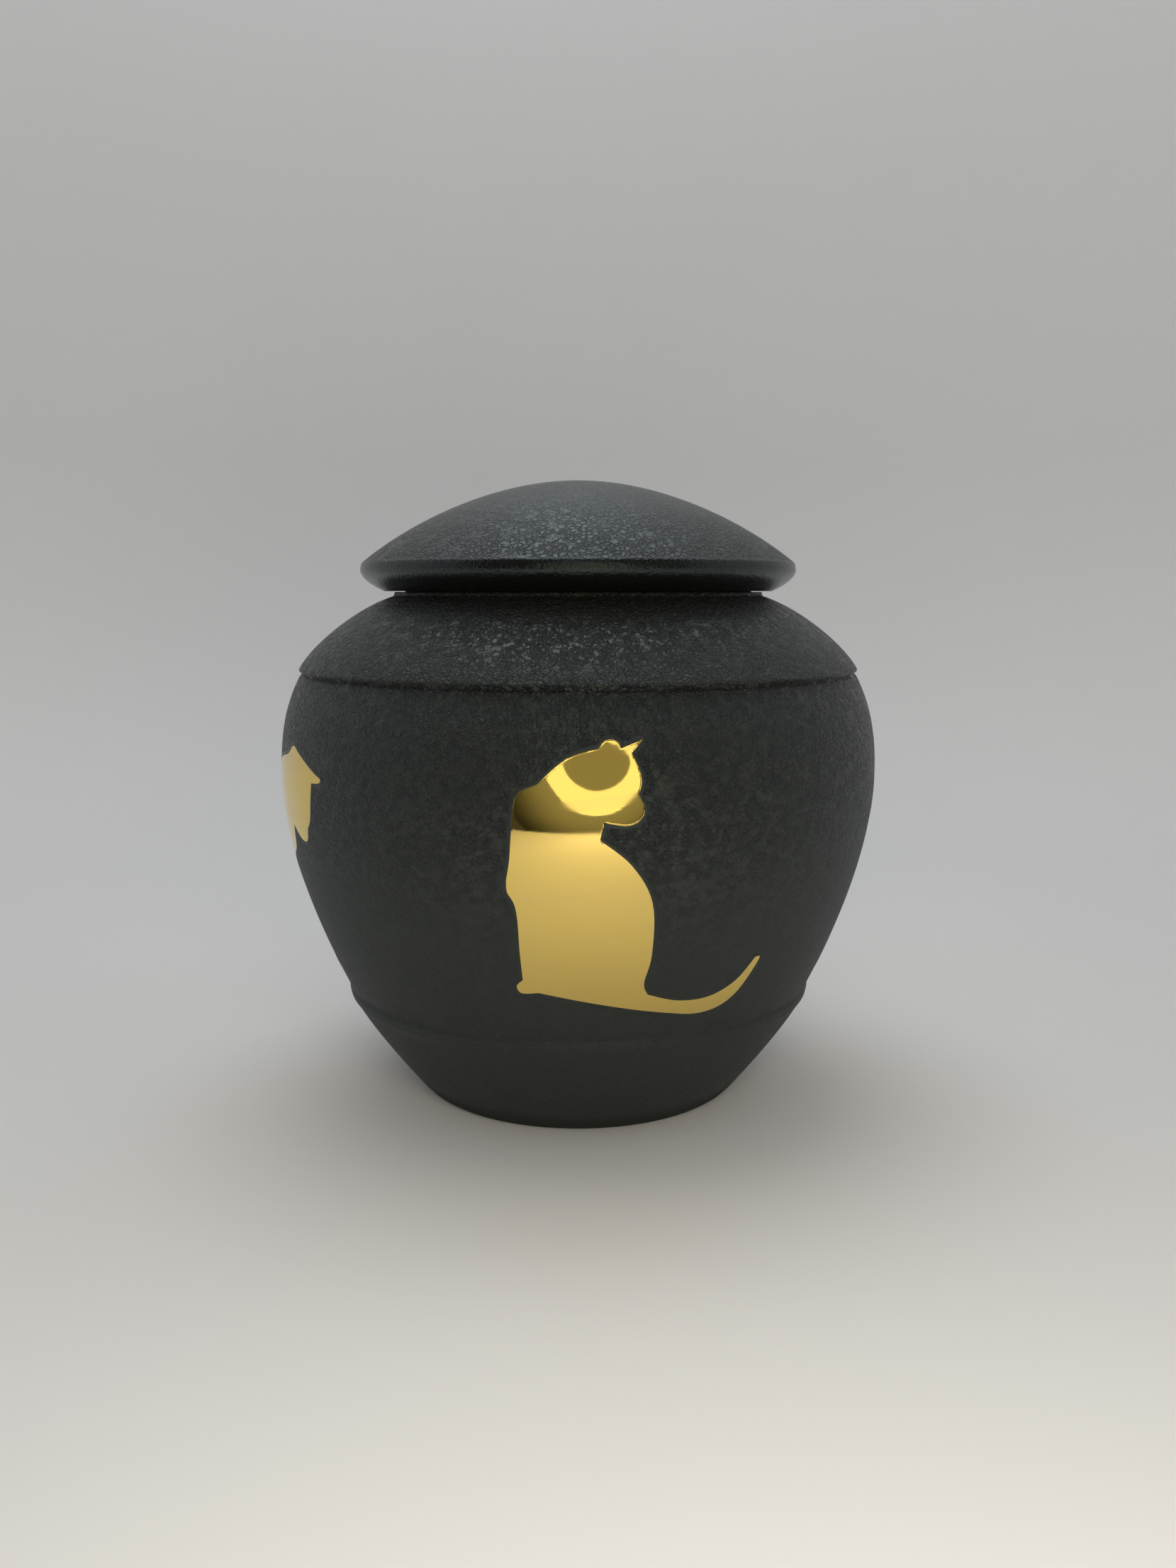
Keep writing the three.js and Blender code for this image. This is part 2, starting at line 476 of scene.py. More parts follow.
def lower_belly(form):
    """Points of the belly from the lip up to its widest place."""
    return stretch(
        at(*BELLY_BOTTOM_MM), BELLY_BOTTOM_LEAN, BELLY_BOTTOM_REACH,
        at(form.belly_radius / MM, BELLY_HEIGHT_MM), 0, BELOW_BELLY_REACH,
    )


def upper_belly(form):
    """Points of the belly from its widest place up to the ridge."""
    return stretch(
        at(form.belly_radius / MM, BELLY_HEIGHT_MM), 0, ABOVE_BELLY_REACH,
        at(*RIDGE_BOTTOM_MM), RIDGE_BOTTOM_LEAN, RIDGE_BOTTOM_REACH,
    )


def foot():
    """Points of the foot, above its rounded bottom edge."""
    return stretch(
        at(*BASE_ROUND_MM), BASE_LEAN, BASE_REACH, at(*FOOT_TOP_MM), FOOT_TOP_LEAN, FOOT_TOP_REACH,
    )


def shoulder():
    """Points of the shoulder, from the ridge to the neck."""
    return stretch(
        at(*RIDGE_TOP_MM), RIDGE_TOP_LEAN, RIDGE_TOP_REACH, at(*NECK_BOTTOM_MM), NECK_LEAN, NECK_REACH,
    )


def radius_at(outline, height):
    """The radius of a climbing outline at a height."""
    for low, high in zip(outline, outline[1:]):
        if low.z <= height <= high.z:
            return low.lerp(high, (height - low.z) / (high.z - low.z)).x
    return outline[0].x if height < outline[0].z else outline[-1].x


# Turned meshes

def draw_outline(bm, points):
    """Draws an outline as a chain of edges and returns its points."""
    verts = [bm.verts.new(point) for point in points]
    for pair in zip(verts, verts[1:]):
        bm.edges.new(pair)
    return verts


def soften(bm, corners, width):
    """Rounds corners of a drawn outline."""
    if width:
        bmesh.ops.bevel(
            bm, geom=corners, offset=width, offset_type="OFFSET", segments=SOFT_CORNER_STEPS, profile=0.5,
            affect="VERTICES", material=-1, clamp_overlap=True,
        )


def corners_of(verts, places):
    """The drawn points that lie on the given places."""
    return [vert for vert in verts if any((vert.co - place).length < MERGE_DISTANCE for place in places)]


def spin_round(bm, sides):
    """Turns a drawn outline once round the Z axis."""
    bmesh.ops.spin(
        bm, geom=bm.verts[:] + bm.edges[:], cent=(0, 0, 0), axis=(0, 0, 1), dvec=(0, 0, 0),
        angle=math.tau, steps=sides, use_merge=True, use_normal_flip=False, use_duplicate=False,
    )


def turn(bm, points, corners, form, material):
    """Adds a turned outline with softened corners, and gives its faces a material number."""
    older = set(bm.faces)
    wire = bmesh.new()
    verts = draw_outline(wire, points)
    soften(wire, corners_of(verts, corners), form.soft_edge)
    spin_round(wire, form.sides)
    turned = bpy.data.meshes.new("turned")
    wire.to_mesh(turned)
    wire.free()
    bm.from_mesh(turned)
    bpy.data.meshes.remove(turned)
    for face in bm.faces:
        if face not in older:
            face.material_index = material


def make_object(bm, name, materials):
    """Makes a mesh an object of the scene."""
    mesh = bpy.data.meshes.new(name)
    bm.to_mesh(mesh)
    bm.free()
    for material in materials:
        mesh.materials.append(material)
    made = bpy.data.objects.new(name, mesh)
    bpy.context.scene.collection.objects.link(made)
    return made


def finish_piece(bm, name, materials):
    """Closes a mesh's seams, points its faces outward, makes it an object and lets it ride on the root."""
    bmesh.ops.remove_doubles(bm, verts=bm.verts, dist=MERGE_DISTANCE)
    bmesh.ops.recalc_face_normals(bm, faces=bm.faces)
    for face in bm.faces:
        face.smooth = True
    piece = make_object(bm, name, materials)
    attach(piece, ROOT)
    return piece


# Figures

def smooth_through(points):
    """Points of a smooth line through the given ones."""
    line = []
    last = len(points) - 1
    for i in range(last):
        here = points[i]
        there = points[i + 1]
        before = points[max(i - 1, 0)]
        after = points[min(i + 2, last)]
        leaving = here + (there - before) / 6
        arriving = there - (after - here) / 6
        line += interpolate_bezier(here, leaving, arriving, there, FIGURE_CURVE_STEPS + 1)[:-1]
    return line


def figure_outline(rows, figures):
    """A figure's closed outline, flat and upright, in its real size and height."""
    outline = []
    corner = rows[-1][-1]
    for row in rows:
        points = [
            Vector((across * figures.height, 0, figures.feet_height + up * figures.height))
            for across, up in [corner, *row]
        ]
        outline += smooth_through(points)
        corner = row[-1]
    return outline


def cut_grid(bm, spacing):
    """Cuts a flat upright sheet into a grid, so that it can follow a curved wall."""
    for axis, normal in ((0, Vector((1, 0, 0))), (2, Vector((0, 0, 1)))):
        low = min(vert.co[axis] for vert in bm.verts)
        high = max(vert.co[axis] for vert in bm.verts)
        for i in range(math.ceil(low / spacing), math.floor(high / spacing) + 1):
            geometry = bm.verts[:] + bm.edges[:] + bm.faces[:]
            bmesh.ops.bisect_plane(bm, geom=geometry, plane_co=normal * i * spacing, plane_no=normal)


def add_coat_band(bm, rim, figures):
    """Lays rings of coat round a flat figure: up over the coat's edge, then down to the coat beyond."""
    figure_faces = set(bm.faces)
    starts = [vert.co.copy() for vert in rim]
    ways = []
    for i in range(len(starts)):
        along = starts[(i + 1) % len(starts)] - starts[i - 1]
        ways.append(Vector((-along.z, 0, along.x)).normalized())
    for reach, rise in COAT_BAND:
        edges = [edge for edge in bm.edges if edge.is_boundary]
        made = bmesh.ops.extrude_edge_only(bm, edges=edges)["geom"]
        fresh = {part for part in made if isinstance(part, bmesh.types.BMVert)}
        rim = [
            next(edge.other_vert(vert) for edge in vert.link_edges if edge.other_vert(vert) in fresh)
            for vert in rim
        ]
        for vert, start, way in zip(rim, starts, ways):
            vert.co = start + way * figures.band * reach
            vert.co.y = -figures.coat_rise * rise
    for face in bm.faces:
        if face not in figure_faces:
            face.material_index = 1


def figure_sheet(rows, figures):
    """A figure and the coat's edge round it as a thin flat plate, with its front at the Y plane."""
    bm = bmesh.new()
    rim = [bm.verts.new(point) for point in figure_outline(rows, figures)]
    face = bm.faces.new(rim)
    add_coat_band(bm, rim, figures)
    bmesh.ops.inset_region(bm, faces=[face], thickness=figures.roll, depth=0)
    for vert in face.verts:
        vert.co.y = -figures.proud
    bmesh.ops.inset_region(bm, faces=[face], thickness=figures.roll * ROLL_FLAT_SHARE, depth=0)
    cut_grid(bm, figures.grid)
    back = bmesh.ops.extrude_face_region(bm, geom=bm.faces[:])["geom"]
    back_verts = [part for part in back if isinstance(part, bmesh.types.BMVert)]
    bmesh.ops.translate(bm, verts=back_verts, vec=(0, figures.depth, 0))
    return bm


def lay_on_belly(bm, belly):
    """Bends a flat upright plate round the belly's front."""
    for vert in bm.verts:
        radius = radius_at(belly, vert.co.z) + LIFT_MM * MM
        vert.co.y -= math.sqrt(radius ** 2 - vert.co.x ** 2)


# Node helpers

def add_node(tree, kind, **settings):
    """Adds a node and sets its own settings."""
    node = tree.nodes.new(kind)
    for name, value in settings.items():
        setattr(node, name, value)
    return node


def feed(tree, socket, source):
    """Links a socket to an output, or gives it a plain value."""
    if isinstance(source, bpy.types.NodeSocket):
        tree.links.new(source, socket)
    else:
        socket.default_value = source


def calculate(tree, operation, *values, clamp=False):
    """A Math node's result."""
    node = add_node(tree, "ShaderNodeMath", operation=operation, use_clamp=clamp)
    for socket, value in zip(node.inputs, values):
        feed(tree, socket, value)
    return node.outputs["Value"]


def ease(tree, value, low, high, to_low=0.0, to_high=1.0):
    """A value carried smoothly from one range to another."""
    node = add_node(tree, "ShaderNodeMapRange", interpolation_type="SMOOTHSTEP")
    for label, source in (
        ("Value", value), ("From Min", low), ("From Max", high), ("To Min", to_low), ("To Max", to_high),
    ):
        feed(tree, node.inputs[label], source)
    return node.outputs["Result"]


def noise_at(tree, vector, scale, detail=2.0):
    """A Noise Texture node on a vector."""
    node = add_node(tree, "ShaderNodeTexNoise")
    feed(tree, node.inputs["Vector"], vector)
    feed(tree, node.inputs["Scale"], scale)
    feed(tree, node.inputs["Detail"], detail)
    return node


def cells_at(tree, vector, scale, feature):
    """A Voronoi Texture node on a vector."""
    node = add_node(tree, "ShaderNodeTexVoronoi", feature=feature)
    feed(tree, node.inputs["Vector"], vector)
    feed(tree, node.inputs["Scale"], scale)
    return node


def scaled(tree, vector, factor):
    """A vector times a number."""
    node = add_node(tree, "ShaderNodeVectorMath", operation="SCALE")
    feed(tree, node.inputs["Vector"], vector)
    feed(tree, node.inputs["Scale"], factor)
    return node.outputs["Vector"]


def added(tree, first, second):
    """The sum of two vectors."""
    node = add_node(tree, "ShaderNodeVectorMath", operation="ADD")
    feed(tree, node.inputs[0], first)
    feed(tree, node.inputs[1], second)
    return node.outputs["Vector"]


def mixed(tree, factor, first, second):
    """A colour between two colours."""
    node = add_node(tree, "ShaderNodeMix", data_type="RGBA")
    feed(tree, node.inputs["Factor"], factor)
    for socket, source in zip((s for s in node.inputs if s.type == "RGBA"), (first, second)):
        feed(tree, socket, source)
    return next(s for s in node.outputs if s.type == "RGBA")


def opaque(colour):
    """A colour with full alpha."""
    return (*colour, 1.0)


def start_group(name, inputs, outputs):
    """A new shader node group with its sockets, and its input and output nodes."""
    tree = bpy.data.node_groups.new(name, "ShaderNodeTree")
    for label, kind, default in inputs:
        socket = tree.interface.new_socket(name=label, in_out="INPUT", socket_type=kind)
        if default is not None:
            socket.default_value = default
    for label in outputs:
        tree.interface.new_socket(name=label, in_out="OUTPUT", socket_type="NodeSocketFloat")
    return tree, add_node(tree, "NodeGroupInput"), add_node(tree, "NodeGroupOutput")


def use_group(tree, group, values):
    """Places a node group in a material with its own values."""
    node = add_node(tree, "ShaderNodeGroup", node_tree=group)
    for label, value in values.items():
        feed(tree, node.inputs[label], value)
    return node


def start_material(name):
    """A new material, its node tree, its Principled shader and its Object coordinates."""
    material = bpy.data.materials.new(name)
    material.use_nodes = True
    tree = material.node_tree
    shader = next(node for node in tree.nodes if node.type == "BSDF_PRINCIPLED")
    coordinates = add_node(tree, "ShaderNodeTexCoord").outputs["Object"]
    return material, tree, shader, coordinates


def bump(tree, shader, height, distance):
    """Feeds a height to a shader's normal."""
    node = add_node(tree, "ShaderNodeBump")
    feed(tree, node.inputs["Height"], height)
    feed(tree, node.inputs["Distance"], distance)
    feed(tree, shader.inputs["Normal"], node.outputs["Normal"])


# Effects that materials share

def crackle_group():
    """Broken wavy veins, finer wrinkles, a height for the plates between them, and a fine grain."""
    name = "Crackle"
    if name in bpy.data.node_groups:
        return bpy.data.node_groups[name]
    tree, entry, result = start_group(
        name,
        [
            ("Vector", "NodeSocketVector", None),
            ("Cell", "NodeSocketFloat", 0.002),
            ("Wander", "NodeSocketFloat", 0.9),
            ("Vein Width", "NodeSocketFloat", 0.2),
        ],
        ("Veins", "Wrinkles", "Plates", "Grain"),
    )
    place = scaled(tree, entry.outputs["Vector"], calculate(tree, "DIVIDE", 1.0, entry.outputs["Cell"]))
    centred = added(tree, noise_at(tree, place, BEND_SCALE).outputs["Color"], (-0.5, -0.5, -0.5))
    bent = added(tree, place, scaled(tree, centred, entry.outputs["Wander"]))
    for label, scale, height, patches in (
        ("Veins", 1.0, 1.0, VEIN_PATCHES), ("Wrinkles", WRINKLE_SCALE, WRINKLE_HEIGHT, WRINKLE_PATCHES),
    ):
        to_edge = cells_at(tree, bent, scale, "DISTANCE_TO_EDGE").outputs["Distance"]
        lines = ease(tree, to_edge, 0.0, entry.outputs["Vein Width"], height, 0.0)
        patch_scale, patch_low, patch_high = patches
        kept = ease(tree, noise_at(tree, place, patch_scale).outputs["Fac"], patch_low, patch_high)
        feed(tree, result.inputs[label], calculate(tree, "MULTIPLY", lines, kept))
    feed(tree, result.inputs["Plates"], noise_at(tree, bent, PLATE_SCALE, 1.0).outputs["Fac"])
    feed(tree, result.inputs["Grain"], noise_at(tree, place, GRAIN_SCALE, 3.0).outputs["Fac"])
    return tree


def dust_group():
    """A few small round specks."""
    name = "Dust Specks"
    if name in bpy.data.node_groups:
        return bpy.data.node_groups[name]
    tree, entry, result = start_group(
        name,
        [
            ("Vector", "NodeSocketVector", None),
            ("Spacing", "NodeSocketFloat", 0.006),
            ("Speck", "NodeSocketFloat", 0.025),
        ],
        ("Specks",),
    )
    place = scaled(tree, entry.outputs["Vector"], calculate(tree, "DIVIDE", 1.0, entry.outputs["Spacing"]))
    cells = cells_at(tree, place, 1.0, "F1")
    speck = ease(tree, cells.outputs["Distance"], 0.0, entry.outputs["Speck"], 1.0, 0.0)
    feed(tree, result.inputs["Specks"], speck)
    return tree


def brush_group():
    """Fine near-level brush marks that rise a little to the right, and broad soft streaks."""
    name = "Brush Marks"
    if name in bpy.data.node_groups:
        return bpy.data.node_groups[name]
    tree, entry, result = start_group(
        name,
        [
            ("Vector", "NodeSocketVector", None),
            ("Spacing", "NodeSocketFloat", 0.0003),
            ("Slant", "NodeSocketFloat", 0.12),
            ("Length", "NodeSocketFloat", 40.0),
        ],
        ("Marks", "Streaks"),
    )
    split = add_node(tree, "ShaderNodeSeparateXYZ")
    feed(tree, split.inputs["Vector"], entry.outputs["Vector"])
    slanted = calculate(
        tree, "MULTIPLY_ADD", split.outputs["X"], calculate(tree, "MULTIPLY", entry.outputs["Slant"], -1.0),
        split.outputs["Z"],
    )
    stretched = add_node(tree, "ShaderNodeCombineXYZ")
    feed(tree, stretched.inputs["X"], split.outputs["X"])
    feed(tree, stretched.inputs["Y"], split.outputs["Y"])
    feed(tree, stretched.inputs["Z"], calculate(tree, "MULTIPLY", slanted, entry.outputs["Length"]))
    mark_length = calculate(tree, "MULTIPLY", entry.outputs["Spacing"], entry.outputs["Length"])
    long_place = scaled(tree, stretched.outputs["Vector"], calculate(tree, "DIVIDE", 1.0, mark_length))
    feed(tree, result.inputs["Marks"], noise_at(tree, long_place, 1.0, 2.0).outputs["Fac"])
    feed(tree, result.inputs["Streaks"], noise_at(tree, long_place, 0.12, 1.0).outputs["Fac"])
    return tree


# Materials

def by_zone(tree, level, belly, shoulder, lid):
    """A number that differs on the belly, on the shoulder and on the lid."""
    lower = calculate(tree, "MULTIPLY_ADD", ease(tree, level, *SHOULDER_START), shoulder - belly, belly)
    return calculate(tree, "MULTIPLY_ADD", ease(tree, level, *LID_START), lid - shoulder, lower)


def crackle_coat(coat, name="crackle_coat"):
    """Dark slate powder coat: a strong crackle on the lid and shoulder that fades down the belly.

    Round the figures, as coat_edge, it has the fine grain alone.
    """
    if name in bpy.data.materials:
        return bpy.data.materials[name]
    material, tree, shader, place = start_material(name)
    crackle = use_group(tree, crackle_group(), {"Vector": place, "Cell": coat.cell}).outputs
    height = add_node(tree, "ShaderNodeSeparateXYZ")
    feed(tree, height.inputs["Vector"], place)
    level = height.outputs["Z"]
    # The lid's edge band, which faces down under the lid: its crackle fades, it is smoother, and its colour
    # takes painted shade
    on_edge = calculate(
        tree, "MULTIPLY", ease(tree, level, *LID_EDGE_START), ease(tree, level, *LID_EDGE_END, 1.0, 0.0),
    )
    strength = calculate(
        tree, "MULTIPLY", ease(tree, level, *CRACKLE_START, FOOT_CRACKLE, 1.0),
        calculate(tree, "MULTIPLY_ADD", on_edge, LID_EDGE_LOSS, 1.0),
    )
    strength = calculate(tree, "MULTIPLY", strength, ease(tree, level, *DOME_CALM, *DOME_CRACKLE))
    if name == "coat_edge":
        strength = calculate(tree, "MULTIPLY", strength, COAT_EDGE_CRACKLE)
    veins = calculate(tree, "MULTIPLY", crackle["Veins"], strength)
    wrinkles = calculate(tree, "MULTIPLY", crackle["Wrinkles"], strength)
    plates = calculate(tree, "MULTIPLY", crackle["Plates"], strength)
    relief = calculate(
        tree, "MULTIPLY_ADD", veins, VEIN_RISE,
        calculate(tree, "MULTIPLY", plates, by_zone(tree, level, *PLATE_RISE)),
    )
    relief = calculate(tree, "MULTIPLY_ADD", wrinkles, by_zone(tree, level, *WRINKLE_RISE), relief)
    relief = calculate(tree, "MULTIPLY_ADD", crackle["Grain"], GRAIN_RISE, relief)
    bump(tree, shader, relief, coat.relief)
    # Painted shade: the sunk veins and the lid's edge band are darkened towards the shade colour
    darker = calculate(tree, "MAXIMUM", calculate(tree, "MULTIPLY", veins, VEIN_PAINTED_SHADE), on_edge)
    painted = mixed(tree, darker, opaque(coat.colour), opaque(coat.vein_and_edge_shade_colour))
    specks = use_group(tree, dust_group(), {"Vector": place}).outputs["Specks"]
    feed(tree, shader.inputs["Base Color"], mixed(tree, specks, painted, opaque(coat.dust_colour)))
    uneven = calculate(
        tree, "MULTIPLY_ADD", crackle["Grain"], GRAIN_ROUGHNESS, coat.roughness - GRAIN_ROUGHNESS / 2,
    )
    uneven = calculate(tree, "MULTIPLY_ADD", veins, VEIN_ROUGHNESS, uneven)
    uneven = calculate(tree, "MULTIPLY_ADD", on_edge, LID_EDGE_ROUGHNESS, uneven)
    uneven = calculate(tree, "ADD", uneven, ease(tree, level, *MATTE_END, MATTE_ROUGHNESS, 0.0))
    uneven = calculate(tree, "ADD", uneven, ease(tree, level, *BASE_END, BASE_ROUGHNESS, 0.0))
    feed(tree, shader.inputs["Roughness"], uneven)
    shader.inputs["Specular IOR Level"].default_value = 0.6
    shader.inputs["Specular Tint"].default_value = opaque(coat.sheen_colour)
    return material


def polished_brass(brass):
    """Polished brass with fine brush marks and faint dull streaks."""
    name = "polished_brass"
    if name in bpy.data.materials:
        return bpy.data.materials[name]
    material, tree, shader, place = start_material(name)
    marks = use_group(tree, brush_group(), {"Vector": place, "Spacing": brass.mark_spacing}).outputs
    dull = ease(tree, marks["Streaks"], *DULL_START)
    tarnished = mixed(tree, dull, opaque(brass.colour), opaque(brass.dull_colour))
    feed(tree, shader.inputs["Base Color"], tarnished)
    uneven = calculate(tree, "MULTIPLY_ADD", dull, DULL_ROUGHNESS, brass.roughness)
    feed(tree, shader.inputs["Roughness"], uneven)
    shader.inputs["Metallic"].default_value = 1.0
    bump(tree, shader, marks["Marks"], brass.mark_depth)
    return material


def inner_metal(brass):
    """The unpolished metal inside, dull and lightly pitted."""
    name = "inner_metal"
    if name in bpy.data.materials:
        return bpy.data.materials[name]
    material, tree, shader, place = start_material(name)
    pits = noise_at(tree, place, PIT_SCALE, 3.0).outputs["Fac"]
    stain = noise_at(tree, place, STAIN_SCALE).outputs["Fac"]
    stained = tuple(channel * STAIN_BRIGHTNESS for channel in brass.inner_colour)
    patchy = mixed(tree, ease(tree, stain, *STAIN_START), opaque(brass.inner_colour), opaque(stained))
    feed(tree, shader.inputs["Base Color"], patchy)
    uneven = calculate(tree, "MULTIPLY_ADD", stain, STAIN_ROUGHNESS, INNER_ROUGHNESS)
    feed(tree, shader.inputs["Roughness"], uneven)
    shader.inputs["Metallic"].default_value = 1.0
    bump(tree, shader, pits, PIT_DEPTH_MM * MM)
    return material


# Operators

class URN_OT_turn_body(bpy.types.Operator):
    """Turn the urn's hollow body and coat it"""

    bl_idname = "urn.turn_body"
    bl_label = "Turn Body"

    def execute(self, context):
        form = context.scene.urn_form
        foot_line = foot()
        belly_low = lower_belly(form)
        belly_high = upper_belly(form)
        shoulder_line = shoulder()
        base_lean = math.tan(math.radians(BASE_LEAN))
        base_corner = at(BASE_ROUND_MM[0] - BASE_ROUND_MM[1] * base_lean, 0)
        rim = Vector((NECK_BOTTOM_MM[0] * MM, 0, form.rim_height))
        inner_rim = Vector((rim.x - NECK_WALL_MM * MM, 0, rim.z))
        outside = [
            Vector(), *rounded(at(BASE_FLAT_R_MM, 0), base_corner, at(*BASE_ROUND_MM)), *foot_line[1:],
            at(*LIP_BOTTOM_MM), at(*LIP_TOP_MM), *belly_low, *belly_high[1:], at(*RIDGE_GROOVE_MM),
            *shoulder_line, rim, inner_rim,
        ]
        soft_corners = [
            at(*FOOT_TOP_MM), at(*LIP_BOTTOM_MM), at(*LIP_TOP_MM), at(*BELLY_BOTTOM_MM),
            at(*RIDGE_BOTTOM_MM), at(*RIDGE_TOP_MM), at(*NECK_BOTTOM_MM), rim,
        ]
        wall = BODY_WALL_MM * MM
        hollow_low = inside(foot_line, wall) + inside(belly_low, wall)[1:]
        hollow_high = inside(belly_high, wall)[1:] + inside(shoulder_line, wall)[1:]
        floor_height = FLOOR_WALL_MM * MM
        hollow = [point for point in hollow_low if point.z > floor_height + wall / 2]
        hollow += [point for point in hollow_high if point.x > inner_rim.x]
        floor_corner = Vector((hollow[0].x - wall, 0, floor_height))
        neck_corner = Vector((inner_rim.x, 0, hollow[-1].z))
        within = [inner_rim, neck_corner, *reversed(hollow), floor_corner, Vector((0, 0, floor_height))]
        bm = bmesh.new()
        turn(bm, outside, soft_corners, form, 0)
        turn(bm, within, [], form, 1)
        piece = finish_piece(bm, "coated_body", [
            crackle_coat(context.scene.urn_coat), inner_metal(context.scene.urn_brass),
        ])
        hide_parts("urn_body")
        return {"FINISHED"}


class URN_OT_turn_lid(bpy.types.Operator):
    """Turn the hollow lid with its locating ring and coat it"""

    bl_idname = "urn.turn_lid"
    bl_label = "Turn Lid"

    def execute(self, context):
        form = context.scene.urn_form
        base = Vector((0, 0, form.lid_bottom))
        apex = Vector((0, 0, form.lid_top))
        crease = base + at(*LID_CREASE_MM)
        edge = base + at(*LID_EDGE_MM)
        flat = base + at(LID_FLAT_R_MM, 0)
        ring_outer = (NECK_BOTTOM_MM[0] - NECK_WALL_MM - RING_CLEARANCE_MM) * MM
        ring_inner = ring_outer - RING_WALL_MM * MM
        ring_bottom = form.lid_bottom - RING_DEPTH_MM * MM
        underside = rounded(flat, Vector((edge.x, 0, (flat.z + edge.z) / 2)), edge)
        dome = stretch(crease, LID_CREASE_LEAN, LID_CREASE_REACH, apex, LID_APEX_LEAN, LID_APEX_REACH)
        outside = [
            Vector((ring_outer, 0, ring_bottom)), Vector((ring_outer, 0, flat.z)),
            *underside, base + at(*LID_ROLL_MM), *dome,
        ]
        wall = LID_WALL_MM * MM
        edge_inside = Vector((edge.x - wall, 0, edge.z))
        dome_inside = [
            point for point in inside(dome, wall)[:-1] if point.z > edge_inside.z and point.x < edge_inside.x
        ]
        within = [
            Vector((0, 0, apex.z - wall)), *reversed(dome_inside), edge_inside,
            Vector((flat.x, 0, flat.z + wall)), Vector((ring_inner, 0, flat.z + wall)),
            Vector((ring_inner, 0, ring_bottom)), Vector((ring_outer, 0, ring_bottom)),
        ]
        bm = bmesh.new()
        turn(bm, outside, [base + at(*LID_ROLL_MM), crease, flat], form, 0)
        turn(bm, within, [], form, 1)
        piece = finish_piece(bm, "coated_lid", [
            crackle_coat(context.scene.urn_coat), inner_metal(context.scene.urn_brass),
        ])
        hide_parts("urn_lid")
        return {"FINISHED"}


class URN_OT_lay_figures(bpy.types.Operator):
    """Lay the bare brass cats flush round the belly"""

    bl_idname = "urn.lay_figures"
    bl_label = "Lay Figures"

    def execute(self, context):
        form = context.scene.urn_form
        figures = context.scene.urn_figures
        belly = lower_belly(form) + upper_belly(form)[1:]
        for name, (rows, quarter) in FIGURES.items():
            bm = figure_sheet(rows, figures)
            lay_on_belly(bm, belly)
            turned = Matrix.Rotation(figures.first_turn + math.radians(quarter), 4, "Z")
            bmesh.ops.transform(bm, matrix=turned, verts=bm.verts)
            piece = finish_piece(bm, name, [
                polished_brass(context.scene.urn_brass), crackle_coat(context.scene.urn_coat, "coat_edge"),
            ])
        return {"FINISHED"}


# Studio, in metres
SWEEP_FLAT_R = 0.33
SWEEP_BEND_R = 0.2
SWEEP_HEIGHT = 1.2
SWEEP_SIDES = 96
SWEEP_BEND_COARSENING = 8
FLOOR_FRONT_EDGE_Y = -0.295
PAPER_SHADE = 0.97

# The ring that the brass reflects: its place, its radii and how bright it is inside and round it
RING_PLACE = (0.034, -0.3274, 0.126)
RING_INNER_R = 0.061
RING_OUTER_R = 0.099
RING_HALO_R = 0.19
RING_CORE = 0.2
RING_HALO = (0.22, 0.02)
RING_COLOUR = (1.0, 0.96, 0.68)

# The soft lights: place, point that they look at, width and depth, and colour
LIGHT_AIM = (0.0, 0.0, 0.05)
LIGHTS = {
    "top_light": ((-0.07, 0.08, 0.9), LIGHT_AIM, (0.7, 0.6), (1.0, 0.98, 0.93)),
    "back_light": ((0, 0.34, 0.82), LIGHT_AIM, (1.1, 0.42), (0.84, 0.94, 1.0)),
    "window_light": ((0, -0.7, 0.9), (0, -0.3, 0), (0.8, 0.8), (0.6, 0.8, 1.0)),
    "camera_light": (
        RING_PLACE, (RING_PLACE[0], 0, RING_PLACE[2]), (2 * RING_OUTER_R, 2 * RING_OUTER_R),
        (1.0, 0.91, 0.73),
    ),
}

# The room's own light: its colour, its strength low and in front, and where it grows toward the back
ROOM_COLOUR = (1.0, 0.98, 0.95)
ROOM_DARK = 0.06
ROOM_BACKWARD_TILT = 0.6
ROOM_RISE = (0.1, 0.8)


def studio_paper(studio):
    """Pale matte paper with a faint unevenness."""
    material, tree, shader, place = start_material("studio_paper")
    uneven = noise_at(tree, place, 5.0).outputs["Fac"]
    darker = tuple(channel * PAPER_SHADE for channel in studio.paper_colour)
    feed(tree, shader.inputs["Base Color"], mixed(tree, uneven, opaque(studio.paper_colour), opaque(darker)))
    feed(tree, shader.inputs["Roughness"], 0.9)
    return material


